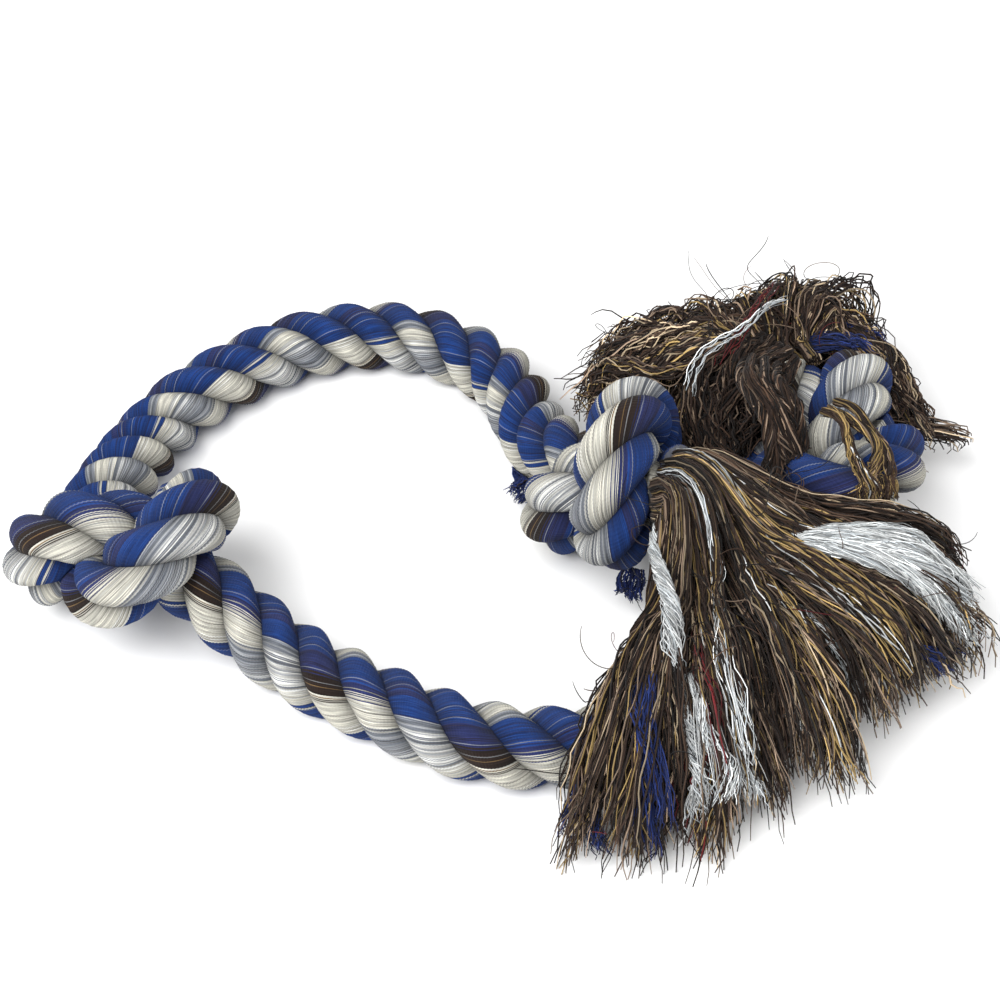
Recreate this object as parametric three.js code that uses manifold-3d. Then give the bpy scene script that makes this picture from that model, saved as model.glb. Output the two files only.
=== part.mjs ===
// Rope dog toy: one thick three-strand rope bent into an open loop, with an overhand knot in
// its middle, another near each end, and both ends frayed into tassels of loose yarn.
// Millimetres, +Z up. The toy lies on the floor at z = 0. +X runs from the middle knot to the
// tassels. The origin is on the floor, under the lowest turn of the middle knot.
import * as THREE from "three";
import Module from "manifold-3d";

// Rope
const ROPE_DIAMETER = 25;
const LAY_LENGTH = 50; // rope length in which a strand goes once round
const STRANDS = 3;
const CLEARANCE = 0.4; // between pieces that touch
const ROPE_RADIUS = ROPE_DIAMETER / 2;
const STRAND_RADIUS = 0.29 * ROPE_DIAMETER;
const STRAND_OFFSET = ROPE_RADIUS - STRAND_RADIUS;

// Knots, in rope diameters: rope drawn into a knot, and how far out its two ends are held
const KNOT_ROPE = 12.8;
const KNOT_REACH = 2.2;
const KNOT_BEND = 0.65; // tightest bend radius while it is pulled up
const KNOT_GRIP = 0.8; // a pulled knot is this much smaller than one of hard rope
const MIDDLE_TRIM = 6; // points of the middle knot's line left out where its arms bend away
const FLOOR_CUT = 0.1 * ROPE_DIAMETER; // depth of the flats that the knots stand on
const PASS_APART = 0.5 * ROPE_DIAMETER; // rope this far on along its line can press on itself

// Layout on the floor, in rope diameters: middles of the knots, and points that the arms run through
const MIDDLE_KNOT = [0.15, -0.2];
const END_KNOT_A = [6.3, 0.9];
const END_KNOT_B = [9.2, 1.75];
const BACK_ARM = [[-0.1, 2.5], [0.6, 3.6], [1.9, 4.58], [3.4, 4.78], [4.75, 3.95]];
const FRONT_ARM = [
  [2.1, -1.3], [3.3, -2.08], [4.48, -2.65], [5.7, -2.76], [7.3, -2.4], [8.75, -1.6],
];
const FOLD_BACK = [3.15, 4.78]; // where the fold line crosses the two arms
const FOLD_FRONT = [3.15, -2];
const STUB = 1.15; // rope left between an end knot's middle and its tassel

// Directions in which the rope leaves each knot, the knot's turn about its rope, and its hand
const MIDDLE_TO_BACK = [-0.5, 0.8, -0.1];
const MIDDLE_TO_FRONT = [0.95, -0.2, -0.1];
const MIDDLE_TURN = 15;
const MIDDLE_HAND = 1;
const A_TO_ARM = [-0.33, 0.85, -0.4];
const A_TO_TASSEL = [0.75, -0.5, 0.45];
const A_TURN = 325;
const A_HAND = 1;
const B_TO_ARM = [0.05, -0.95, -0.2];
const B_TO_TASSEL = [-0.5, 0.8, 0.3];
const B_TURN = 60;
const B_HAND = -1;

// Tassels: the run of each tuft after its root, in layout diameters
const TUFT_LEAD = 0.45; // length in which the tufts still lie side by side
const TUFT_ROOT = 0.28; // half height of a tuft where it leaves the rope
const TUFT_TIP = 0.2; // half height at its tip
const TUFT_PARTING = 5; // half the gap between the tips of two tufts
const TUFT_LOCKS = 5; // locks of yarn round a tuft
const TUFT_GROOVE = 0.22; // depth of the grooves between the locks, as a part of the tuft
const TUFT_TWIST = 0.6; // turn of the locks from root to tip, in radians
const TASSEL_SPREAD = 0.75; // half width of the outermost tufts at the tip
const TASSEL_A = {
  tassel_a_left: [[6.95, -1.5, 1.35], [6.65, -2.5, 1.45], [6.47, -3.4, 1.15], [6.32, -4.2, 0.26]],
  tassel_a_front: [[7.6, -1.0, 1.4], [7.8, -2.2, 1.5], [7.92, -3.0, 1.12], [8.0, -3.8, 0.26]],
  tassel_a_main: [[8.1, -0.8, 1.7], [8.75, -1.7, 1.7], [9.3, -2.3, 1.4], [9.7, -2.9, 0.28]],
  tassel_a_right: [[8.5, -0.3, 1.8], [9.4, -0.75, 1.8], [10.2, -0.75, 1.4], [10.85, -0.7, 0.35]],
};
const TASSEL_B = {
  tassel_b_right: [[9.2, 4.0, 1.9], [10.05, 3.95, 1.4], [10.75, 3.5, 0.35]],
  tassel_b_back: [[8.7, 4.15, 1.75], [8.75, 4.8, 1.4], [8.8, 5.4, 0.35]],
  tassel_b_left: [[8.0, 3.44, 1.7], [7.2, 3.68, 1.5], [6.4, 3.8, 0.35]],
};

// Fineness of the solids
const RINGS_PER_LAY = 10;
const OVERRUN = 4; // half rings by which a strand runs past a cut before it is trimmed
const CURVE_STEPS = 12; // points between two route points
const TUFT_RINGS = 10;
const TUFT_SIDES = 4 * TUFT_LOCKS;

// Colours of the strands, and of the tassels
const STRAND_COLOURS = [0x2f4c94, 0xe3e2d8, 0x9aa0ab];
const TASSEL_A_COLOUR = 0x5a4838;
const TASSEL_B_COLOUR = 0x4b3c30;
const ROPE_ROUGHNESS = 0.9;
const YARN_ROUGHNESS = 0.95;

const wasm = await Module();
wasm.setup();
const { Manifold, Mesh } = wasm;

const vec = (p) => new THREE.Vector3(p[0], p[1], p[2] ?? 0);
const mix = (a, b, t) => a + (b - a) * t;
const smooth = (a, b, v) => THREE.MathUtils.smoothstep(v, a, b);

// A loose overhand knot pulled tight between two ends, in rope diameters
function pullKnot(toFirst, toLast, turn, hand) {
  const count = 72;
  const first = vec(toFirst).normalize();
  const last = vec(toLast).normalize();
  const across = first.clone().sub(last).normalize();
  const out = first.clone().add(last);
  if (out.length() < 0.2) {
    out.set(0, 0, 1).cross(across);
  }
  out.addScaledVector(across, -out.dot(across)).normalize();
  out.applyAxisAngle(across, THREE.MathUtils.degToRad(turn));
  const side = out.clone().cross(across).multiplyScalar(hand);
  const far = 6;
  const loose = [first.clone().multiplyScalar(far)];
  for (let i = 0; i <= 200; i += 1) {
    const t = (i / 200) * 2 * Math.PI;
    const r = 2 + Math.cos(3 * t);
    const p = out.clone().multiplyScalar(r * Math.cos(2 * t) - 1);
    p.addScaledVector(across, -r * Math.sin(2 * t));
    loose.push(p.addScaledVector(side, -Math.sin(3 * t)));
  }
  loose.push(last.clone().multiplyScalar(far));
  const pts = spaced(loose, count);
  const slack = lengthOf(loose);
  const steps = 1600;
  for (let step = 0; step < steps; step += 1) {
    const pull = Math.min(1, step / (0.7 * steps));
    const link = mix(slack, KNOT_ROPE, pull) / (count - 1);
    const reach = mix(far, KNOT_REACH, pull);
    ease(pts, 0.3);
    for (let sub = 0; sub < 4; sub += 1) {
      for (const start of [0, 1, 0, 1]) {
        for (let i = start; i < count - 1; i += 2) {
          const d = pts[i + 1].clone().sub(pts[i]);
          d.multiplyScalar(0.5 * (1 - link / d.length()));
          pts[i].add(d);
          pts[i + 1].sub(d);
        }
      }
      pushApart(pts, link);
      for (let k = 0; k < 2; k += 1) {
        pts[k].copy(first).multiplyScalar(reach - k * link);
        pts[count - 1 - k].copy(last).multiplyScalar(reach - k * link);
      }
    }
  }
  for (let pass = 0; pass < 4; pass += 1) {
    ease(pts, 0.5);
  }
  return pts;
}

// Moves every inner point part of the way to the middle of its neighbours
function ease(pts, part) {
  const old = pts.map((p) => p.clone());
  for (let i = 1; i < pts.length - 1; i += 1) {
    const mid = old[i - 1].clone().add(old[i + 1]).multiplyScalar(0.5);
    pts[i].lerp(mid, part);
  }
}

// Keeps passes of rope one diameter apart and the bends no tighter than the rope allows
function pushApart(pts, link) {
  const shift = pts.map(() => new THREE.Vector3());
  for (let i = 0; i < pts.length; i += 1) {
    for (let j = i + 2; j < pts.length; j += 1) {
      const arc = (j - i) * link;
      let least = 1;
      if (arc < Math.PI * KNOT_BEND) {
        least = Math.min(1, 2 * KNOT_BEND * Math.sin(arc / (2 * KNOT_BEND)));
      }
      const gap = pts[i].distanceTo(pts[j]);
      if (gap < least) {
        const d = pts[j].clone().sub(pts[i]).multiplyScalar((0.5 * (least - gap)) / gap);
        shift[i].sub(d);
        shift[j].add(d);
      }
    }
  }
  pts.forEach((p, i) => p.addScaledVector(shift[i], 0.5));
}

function lengthOf(line) {
  let sum = 0;
  for (let i = 1; i < line.length; i += 1) {
    sum += line[i].distanceTo(line[i - 1]);
  }
  return sum;
}

// The same line as evenly spaced points
function spaced(line, count) {
  const total = lengthOf(line);
  const result = [];
  let i = 1;
  let before = 0;
  for (let k = 0; k < count; k += 1) {
    const want = (total * k) / (count - 1);
    let step = line[i].distanceTo(line[i - 1]);
    while (i < line.length - 1 && before + step < want) {
      before += step;
      i += 1;
      step = line[i].distanceTo(line[i - 1]);
    }
    result.push(line[i - 1].clone().lerp(line[i], Math.min(1, (want - before) / step)));
  }
  return result;
}

// A smooth run through the points from the second to the last but one
function curveThrough(points) {
  const line = [];
  for (let i = 1; i < points.length - 2; i += 1) {
    const [a, b, c, d] = points.slice(i - 1, i + 3);
    for (let k = 0; k < CURVE_STEPS; k += 1) {
      const t = k / CURVE_STEPS;
      const p = b.clone().multiplyScalar(2);
      p.addScaledVector(c, t).addScaledVector(a, -t);
      const t2 = t * t;
      p.addScaledVector(a, 2 * t2).addScaledVector(b, -5 * t2);
      p.addScaledVector(c, 4 * t2).addScaledVector(d, -t2);
      const t3 = t2 * t;
      p.addScaledVector(a, -t3).addScaledVector(b, 3 * t3);
      p.addScaledVector(c, -3 * t3).addScaledVector(d, t3);
      line.push(p.multiplyScalar(0.5));
    }
  }
  line.push(points[points.length - 2].clone());
  return line;
}

// A pulled knot in millimetres with its middle at its place, lowered until its flat is on the floor
function placeKnot(toFirst, toLast, turn, hand, at) {
  const pts = pullKnot(toFirst, toLast, turn, hand);
  const size = ROPE_DIAMETER * KNOT_GRIP;
  const inner = pts.filter((p) => p.length() < KNOT_REACH - 0.3);
  const low = inner.reduce((a, b) => (b.z < a.z ? b : a));
  const middle = new THREE.Box3().setFromPoints(inner).getCenter(new THREE.Vector3());
  const move = vec([at[0] * ROPE_DIAMETER, at[1] * ROPE_DIAMETER]).addScaledVector(middle, -size);
  move.z = ROPE_RADIUS - FLOOR_CUT - low.z * size;
  const put = (p) => p.clone().multiplyScalar(size).add(move);
  return { line: pts.map(put), middle: put(middle), low: put(low) };
}

const centre = placeKnot(MIDDLE_TO_BACK, MIDDLE_TO_FRONT, MIDDLE_TURN, MIDDLE_HAND, MIDDLE_KNOT);
const home = new THREE.Vector3(centre.low.x, centre.low.y, 0);
const knotA = placeKnot(A_TO_ARM, A_TO_TASSEL, A_TURN, A_HAND, END_KNOT_A);
const knotB = placeKnot(B_TO_ARM, B_TO_TASSEL, B_TURN, B_HAND, END_KNOT_B);
centre.line = centre.line.slice(MIDDLE_TRIM, -MIDDLE_TRIM);
for (const knot of [centre, knotA, knotB]) {
  knot.line.forEach((p) => p.sub(home));
  knot.middle.sub(home);
  knot.low.sub(home);
}

// A layout point in millimetres from the origin; a point without a height lies on the floor
function place(point) {
  const height = point[2] === undefined ? ROPE_RADIUS + 0.5 * CLEARANCE : point[2] * ROPE_DIAMETER;
  return vec([point[0] * ROPE_DIAMETER, point[1] * ROPE_DIAMETER, height]).sub(home);
}

// The knot's line from its arm to where the tassel begins
function toStub(knot) {
  const line = knot.line.slice();
  const reach = STUB * ROPE_DIAMETER;
  while (line[line.length - 2].distanceTo(knot.middle) > reach) {
    line.pop();
  }
  return line;
}

function arm(from, inside, route, knot) {
  const ends = [knot.line[0], knot.line[6]];
  return curveThrough([inside, from, ...route.map(place), ...ends]);
}

// The rope's axis, from tassel A through the three knots to tassel B
const STATION = LAY_LENGTH / RINGS_PER_LAY;
const last = centre.line.length - 1;
const back = arm(centre.line[0], centre.line[6], BACK_ARM, knotA);
const front = arm(centre.line[last], centre.line[last - 6], FRONT_ARM, knotB);
const whole = [...back, ...toStub(knotA)].reverse();
whole.push(...centre.line, ...front, ...toStub(knotB));
const axis = spaced(whole, 2 * Math.round(lengthOf(whole) / STATION) + 1);
for (let pass = 0; pass < 4; pass += 1) {
  ease(axis, 0.5);
}

// At each point: direction, and two directions across it that do not turn with the rope
const step = lengthOf(axis) / (axis.length - 1);
const stations = [];
for (let i = 0; i < axis.length; i += 1) {
  const along = axis[Math.min(i + 1, axis.length - 1)].clone();
  along.sub(axis[Math.max(i - 1, 0)]).normalize();
  const n = i ? stations[i - 1].n.clone() : new THREE.Vector3(0, 0, 1);
  n.addScaledVector(along, -n.dot(along)).normalize();
  stations.push({ at: axis[i], along, n, b: along.clone().cross(n), run: i * step });
}

function nearest(point) {
  let best = 0;
  axis.forEach((p, i) => {
    if (p.distanceTo(point) < axis[best].distanceTo(point)) {
      best = i;
    }
  });
  return best;
}

// The first strand faces the floor where the middle knot stands
const low = stations[nearest(centre.low)];
const PHASE = Math.atan2(-low.b.z, -low.n.z) - (2 * Math.PI * low.run) / LAY_LENGTH;

// One strand's outline across the rope: distance from the axis and angle from the strand
const outline = [[CLEARANCE / 2 / Math.sin(Math.PI / STRANDS), 0]];
for (let k = 0; k < 6; k += 1) {
  let angle = (Math.PI / STRANDS) * (k / 2.5 - 1);
  const across = STRAND_OFFSET * Math.sin(angle);
  const far = STRAND_OFFSET * Math.cos(angle) + Math.sqrt(STRAND_RADIUS ** 2 - across ** 2);
  if (k === 0 || k === 5) {
    angle -= Math.sign(angle) * Math.asin(CLEARANCE / 2 / far);
  }
  outline.push([far, angle]);
}

// A closed body through rings of points; walls beside ring point 0 are split alike
function skin(rings) {
  const size = rings[0].length;
  const points = rings.flat();
  const faces = [];
  for (let r = 0; r < rings.length - 1; r += 1) {
    for (let k = 0; k < size; k += 1) {
      const a = r * size + k;
      const b = r * size + ((k + 1) % size);
      const c = a + size;
      const d = b + size;
      if (k === size - 1) {
        faces.push(a, b, d, a, d, c);
      } else {
        faces.push(a, b, c, b, d, c);
      }
    }
  }
  const end = (rings.length - 1) * size;
  for (let k = 1; k < size - 1; k += 1) {
    faces.push(0, k + 1, k, end, end + k, end + k + 1);
  }
  const vertProperties = new Float32Array(points.flatMap((p) => [p.x, p.y, p.z]));
  return new Manifold(new Mesh({ numProp: 3, vertProperties, triVerts: new Uint32Array(faces) }));
}

// Everything on one side of a plane, as a large block
function beyond(point, normal) {
  const turn = new THREE.Quaternion().setFromUnitVectors(new THREE.Vector3(0, 0, 1), normal);
  const reach = 60 * ROPE_DIAMETER;
  const rings = [0, reach].map((z) => [[-1, -1], [1, -1], [1, 1], [-1, 1]].map(([x, y]) => {
    return new THREE.Vector3(x * reach, y * reach, z).applyQuaternion(turn).add(point);
  }));
  return skin(rings);
}

// How far the rope reaches from its axis before it is pressed flat by another pass of rope
function room({ at, run }, direction) {
  let least = Infinity;
  for (const other of stations) {
    if (Math.abs(other.run - run) > PASS_APART) {
      const to = other.at.clone().sub(at);
      const facing = to.dot(direction);
      if (facing > 0) {
        least = Math.min(least, to.lengthSq() / (2 * facing));
      }
    }
  }
  return least - CLEARANCE;
}

function strand(which, from, to, limits) {
  const rings = [];
  for (let i = from; i <= to; i += 2) {
    const { at, n, b, run } = stations[i];
    const turn = PHASE + (2 * Math.PI * run) / LAY_LENGTH + (2 * Math.PI * which) / STRANDS;
    rings.push(outline.map(([far, angle]) => {
      const direction = n.clone().multiplyScalar(Math.cos(turn + angle));
      direction.addScaledVector(b, Math.sin(turn + angle));
      return at.clone().addScaledVector(direction, Math.min(far, room(stations[i], direction)));
    }));
  }
  let body = skin(rings);
  for (const [point, normal] of limits) {
    body = body.intersect(beyond(point, normal));
  }
  return body;
}

const toy = new THREE.Group();
toy.name = "rope_dog_toy";

function add(name, body, colour, roughness) {
  const mesh = body.getMesh();
  const geometry = new THREE.BufferGeometry();
  geometry.setAttribute("position", new THREE.BufferAttribute(mesh.vertProperties, 3));
  geometry.setIndex(new THREE.BufferAttribute(mesh.triVerts, 1));
  geometry.computeVertexNormals();
  const material = new THREE.MeshStandardMaterial({ color: colour, roughness, metalness: 0 });
  const piece = new THREE.Mesh(geometry, material);
  piece.name = name;
  toy.add(piece);
}

// Where the rope bends: the fold line across both arms, and the necks of the end knots
const half = CLEARANCE / 2;
const floor = [new THREE.Vector3(0, 0, 0), new THREE.Vector3(0, 0, 1)];
const rightwards = new THREE.Vector3(1, 0, 0);
const foldLine = place([FOLD_BACK[0], 0, 0]);
const foldBack = nearest(place(FOLD_BACK));
const foldFront = nearest(place(FOLD_FRONT));
const inner = [foldLine.clone().addScaledVector(rightwards, -half), rightwards.clone().negate()];
const outer = [foldLine.clone().addScaledVector(rightwards, half), rightwards];

function neck(knot) {
  const index = nearest(knot.line[0]);
  const toKnot = knot.middle.clone().sub(knot.line[0]).setZ(0).normalize();
  const at = stations[index].at;
  const knotSide = [at.clone().addScaledVector(toKnot, half), toKnot];
  const armSide = [at.clone().addScaledVector(toKnot, -half), toKnot.clone().negate()];
  return { index, knotSide, armSide, at, toKnot };
}

const neckA = neck(knotA);
const neckB = neck(knotB);
const even = (i) => 2 * Math.round(i / 2);
const end = stations.length - 1;
for (let k = 0; k < STRANDS; k += 1) {
  const a = even(neckA.index);
  const b = even(neckB.index);
  const fb = even(foldBack);
  const ff = even(foldFront);
  const pieces = {
    knot_a: strand(k, 0, a + OVERRUN, [floor, neckA.knotSide]),
    back_arm: strand(k, a - OVERRUN, fb + OVERRUN, [floor, neckA.armSide, outer]),
    middle: strand(k, fb - OVERRUN, ff + OVERRUN, [floor, inner]),
    front_arm: strand(k, ff - OVERRUN, b + OVERRUN, [floor, neckB.armSide, outer]),
    knot_b: strand(k, b - OVERRUN, end, [floor, neckB.knotSide]),
  };
  for (const [stretch, body] of Object.entries(pieces)) {
    add(`${stretch}_strand_${k + 1}`, body, STRAND_COLOURS[k], ROPE_ROUGHNESS);
  }
}

// A fan of tufts side by side, rooted on the cut end of the rope
function tassel(stub, forward, tufts, colour) {
  const up = new THREE.Vector3(0, 0, 1);
  const side = up.clone().cross(forward).normalize();
  const rise = forward.clone().cross(side);
  const names = Object.keys(tufts);
  const room = ROPE_DIAMETER / names.length;
  const spines = names.map((name, i) => {
    const root = stub.clone().addScaledVector(forward, CLEARANCE);
    root.addScaledVector(side, (i - (names.length - 1) / 2) * room);
    const run = tufts[name].map(place);
    const past = run[run.length - 1].clone().multiplyScalar(2).sub(run[run.length - 2]);
    const before = root.clone().addScaledVector(forward, -ROPE_DIAMETER);
    const lead = root.clone().addScaledVector(forward, TUFT_LEAD * ROPE_DIAMETER);
    return spaced(curveThrough([before, root, lead, ...run, past]), TUFT_RINGS);
  });
  const edge = (i, r) => {
    const inner = spines[Math.min(Math.max(i, 0), names.length - 1)][r];
    const other = spines[Math.min(Math.max(i - 1, 0), names.length - 1)][r];
    const mid = inner.clone().add(other).multiplyScalar(0.5);
    if (i > 0 && i < names.length) {
      return mid;
    }
    const line = spines[i ? names.length - 1 : 0];
    const ahead = line[Math.min(r + 1, TUFT_RINGS - 1)].clone().sub(line[Math.max(r - 1, 0)]);
    const across = r ? up.clone().cross(ahead).normalize() : side;
    const reach = mix(room / 2, TASSEL_SPREAD * ROPE_DIAMETER, r / (TUFT_RINGS - 1));
    return mid.addScaledVector(across, i ? reach : -reach);
  };
  names.forEach((name, i) => {
    const rings = spines[i].map((p, r) => {
      const t = r / (TUFT_RINGS - 1);
      const across = edge(i + 1, r).sub(edge(i, r));
      const wide = across.length() / 2 - mix(half, TUFT_PARTING, Math.sqrt(t));
      const middle = edge(i, r).addScaledVector(across, 0.5);
      across.normalize();
      const ahead = spines[i][Math.min(r + 1, TUFT_RINGS - 1)].clone();
      ahead.sub(spines[i][Math.max(r - 1, 0)]);
      const tall = r ? ahead.cross(across).normalize() : rise;
      const high = mix(TUFT_ROOT, TUFT_TIP, t) * ROPE_DIAMETER;
      const ring = [];
      for (let k = 0; k < TUFT_SIDES; k += 1) {
        const lock = (k / TUFT_SIDES) * 2 * Math.PI;
        const turn = lock + TUFT_TWIST * t;
        const size = 1 - 0.5 * TUFT_GROOVE * (1 - Math.cos(TUFT_LOCKS * lock));
        const q = middle.clone().addScaledVector(across, size * wide * Math.cos(turn));
        ring.push(q.addScaledVector(tall, size * high * Math.sin(turn)));
      }
      return ring;
    });
    add(name, skin(rings), colour, YARN_ROUGHNESS);
  });
}

tassel(stations[0].at, stations[0].along.clone().negate(), TASSEL_A, TASSEL_A_COLOUR);
tassel(stations[end].at, stations[end].along, TASSEL_B, TASSEL_B_COLOUR);

export default toy;
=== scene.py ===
"""Looks of a rope dog toy: laid cotton strands, pulled knots and frayed yarn tassels."""
import math

import bpy
import numpy as np
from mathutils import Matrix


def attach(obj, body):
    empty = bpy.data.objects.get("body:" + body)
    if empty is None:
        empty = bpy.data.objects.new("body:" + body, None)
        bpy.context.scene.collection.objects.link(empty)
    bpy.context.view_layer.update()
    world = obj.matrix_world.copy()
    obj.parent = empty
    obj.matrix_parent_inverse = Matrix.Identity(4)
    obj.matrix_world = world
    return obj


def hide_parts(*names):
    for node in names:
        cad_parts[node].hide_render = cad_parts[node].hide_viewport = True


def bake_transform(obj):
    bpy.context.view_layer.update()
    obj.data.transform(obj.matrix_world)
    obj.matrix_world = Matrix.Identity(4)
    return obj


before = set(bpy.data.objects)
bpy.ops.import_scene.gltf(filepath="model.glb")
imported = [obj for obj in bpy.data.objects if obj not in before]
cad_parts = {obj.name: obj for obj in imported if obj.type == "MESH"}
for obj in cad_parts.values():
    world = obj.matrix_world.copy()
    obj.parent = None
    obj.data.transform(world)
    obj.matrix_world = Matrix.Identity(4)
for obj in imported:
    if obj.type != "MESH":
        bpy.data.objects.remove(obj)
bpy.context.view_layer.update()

# Rope, in metres
ROPE = 0.025
LAY = 0.050
STRANDS = 3
RINGS_PER_LAY = 10
CLEARANCE = 0.0004
STRAND_RADIUS = 0.29 * ROPE
STRAND_OFFSET = ROPE / 2 - STRAND_RADIUS

# Knots, in rope diameters: rope drawn into a knot, and how far out its two ends are held
KNOT_ROPE = 12.8
KNOT_REACH = 2.2
KNOT_LOOSE = 6  # how far out the ends are before it is drawn up
KNOT_BEND = 0.65  # tightest bend radius while it is drawn up
KNOT_GRIP = 0.8  # a pulled knot is this much smaller than one of hard rope
KNOT_ENDS = 0.3  # ends of its line that don't count in its middle and its lowest place
KNOT_POINTS = 72
KNOT_LEAD = 6  # points into a knot at which its line shows where an arm comes from
PULL_STEPS = 1600
PULL_TIME = 0.7  # part of the steps in which it is drawn up
PULL_EASE = 0.3
PULL_ROUNDS = 4
MIDDLE_TRIM = 6  # points of the middle knot's line left out where its arms bend away
FLOOR_CUT = 0.1 * ROPE  # depth of the flats that the knots stand on

# Layout on the floor, in rope diameters: middles of the knots, and points that the arms run through
MIDDLE_KNOT = [0.15, -0.2]
END_KNOT_A = [6.3, 0.9]
END_KNOT_B = [9.2, 1.75]
BACK_ARM = [[-0.1, 2.5], [0.6, 3.6], [1.9, 4.58], [3.4, 4.78], [4.75, 3.95]]
FRONT_ARM = [[2.1, -1.3], [3.3, -2.08], [4.48, -2.65], [5.7, -2.76], [7.3, -2.4], [8.75, -1.6]]
FOLD_BACK = [3.15, 4.78]
FOLD_FRONT = [3.15, -2]
STUB = 1.15

# Directions in which the rope leaves each knot, the knot's turn about its rope, and its hand
MIDDLE_PULL = [[-0.5, 0.8, -0.1], [0.95, -0.2, -0.1], 15, 1]
A_PULL = [[-0.33, 0.85, -0.4], [0.75, -0.5, 0.45], 325, 1]
B_PULL = [[0.05, -0.95, -0.2], [-0.5, 0.8, 0.3], 60, -1]

# Tassels: the run of each tuft after its root, in layout diameters
TUFT_LEAD = 0.45
TASSEL_SPREAD = 0.75
TASSEL_A = {
    "tassel_a_left": [[6.95, -1.5, 1.35], [6.65, -2.5, 1.45], [6.47, -3.4, 1.15], [6.32, -4.2, 0.26]],
    "tassel_a_front": [[7.6, -1.0, 1.4], [7.8, -2.2, 1.5], [7.92, -3.0, 1.12], [8.0, -3.8, 0.26]],
    "tassel_a_main": [[8.1, -0.8, 1.7], [8.75, -1.7, 1.7], [9.3, -2.3, 1.4], [9.7, -2.9, 0.28]],
    "tassel_a_right": [[8.5, -0.3, 1.8], [9.4, -0.75, 1.8], [10.2, -0.75, 1.4], [10.85, -0.7, 0.35]],
}
TASSEL_B = {
    "tassel_b_right": [[9.2, 4.0, 1.9], [10.05, 3.95, 1.4], [10.75, 3.5, 0.35]],
    "tassel_b_back": [[8.7, 4.15, 1.75], [8.75, 4.8, 1.4], [8.8, 5.4, 0.35]],
    "tassel_b_left": [[8.0, 3.44, 1.7], [7.2, 3.68, 1.5], [6.4, 3.8, 0.35]],
}

# Camera: its place in the layout, its tilt from straight down, and its lens
CAMERA_AT = [0.120, -0.391, 0.438]
CAMERA_TILT = 45
CAMERA_LENS = 64.4
CAMERA_SENSOR = 36


# Lines
def unit(v):
    return v / np.linalg.norm(v, axis=-1, keepdims=True)


def mix(a, b, t):
    return a + (b - a) * t


def turned(v, axis, angle):
    """v turned about a unit axis."""
    c, s = math.cos(angle), math.sin(angle)
    return v * c + np.cross(axis, v) * s + axis * (axis @ v) * (1 - c)


def lengths_along(line):
    steps = np.linalg.norm(np.diff(line, axis=0), axis=1)
    return np.concatenate([[0], np.cumsum(steps)])


def spaced(line, count):
    """The same line as evenly spaced points."""
    run = lengths_along(line)
    want = np.linspace(0, run[-1], count)
    return np.stack([np.interp(want, run, line[:, k]) for k in range(3)], axis=1)


def ease(pts, part):
    """Moves every inner point part of the way to the middle of its neighbours."""
    middle = 0.5 * (pts[:-2] + pts[2:])
    pts[1:-1] += part * (middle - pts[1:-1])


def smooth(pts):
    """Rounds off a line with four passes."""
    for _ in range(4):
        ease(pts, 0.5)


def curve_through(points, steps=12):
    """A smooth run through the points from the second to the last but one."""
    points = np.array(points, float)
    t = (np.arange(steps) / steps)[:, None]
    line = []
    for a, b, c, d in zip(points, points[1:], points[2:], points[3:]):
        bend = (2 * a - 5 * b + 4 * c - d) * t**2 + (3 * b - a - 3 * c + d) * t**3
        line.append(0.5 * (2 * b + (c - a) * t + bend))
    return np.vstack(line + [points[-2:-1]])


# Knots
def push_apart(pts, least):
    """Keeps passes of rope apart by the least distances given."""
    squares = (pts**2).sum(1)
    gap = np.sqrt(np.maximum(squares[:, None] + squares[None] - 2 * pts @ pts.T, 1e-12))
    push = 0.5 * np.maximum(0, least - gap) / gap
    pts += 0.5 * (push.sum(1)[:, None] * pts - push @ pts)


def loose_knot(first, last, turn, hand):
    """An open overhand knot between two ends, in rope diameters."""
    across = unit(first - last)
    out = first + last
    if np.linalg.norm(out) < 0.2:
        out = np.cross([0, 0, 1], across)
    out = turned(unit(out - across * (out @ across)), across, math.radians(turn))
    side = np.cross(out, across) * hand
    t = np.linspace(0, 2 * np.pi, 201)[:, None]
    r = 2 + np.cos(3 * t)
    loop = out * (r * np.cos(2 * t) - 1) - across * r * np.sin(2 * t) - side * np.sin(3 * t)
    return np.vstack([first * KNOT_LOOSE, loop, last * KNOT_LOOSE])


def pull_knot(to_first, to_last, turn, hand):
    """An overhand knot pulled tight between two ends, in rope diameters."""
    count = KNOT_POINTS
    first, last = unit(np.array(to_first, float)), unit(np.array(to_last, float))
    loose = loose_knot(first, last, turn, hand)
    pts = spaced(loose, count)
    slack = lengths_along(loose)[-1]
    apart = np.abs(np.subtract.outer(np.arange(count), np.arange(count)))
    for step in range(PULL_STEPS):
        pull = min(1, step / (PULL_TIME * PULL_STEPS))
        link = mix(slack, KNOT_ROPE, pull) / (count - 1)
        reach = mix(KNOT_LOOSE, KNOT_REACH, pull)
        bend = 2 * KNOT_BEND * np.sin(np.minimum(apart * link / (2 * KNOT_BEND), np.pi / 2))
        least = np.where(apart < 2, 0, np.minimum(1, bend))
        ease(pts, PULL_EASE)
        for _ in range(PULL_ROUNDS):
            for start in (0, 1, 0, 1):
                d = pts[start + 1 :: 2] - pts[start : count - 1 : 2]
                d *= 0.5 * (1 - link / np.linalg.norm(d, axis=1, keepdims=True))
                pts[start : count - 1 : 2] += d
                pts[start + 1 :: 2] -= d
            push_apart(pts, least)
            for k in range(2):
                pts[k] = first * (reach - k * link)
                pts[count - 1 - k] = last * (reach - k * link)
    smooth(pts)
    return pts


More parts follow.
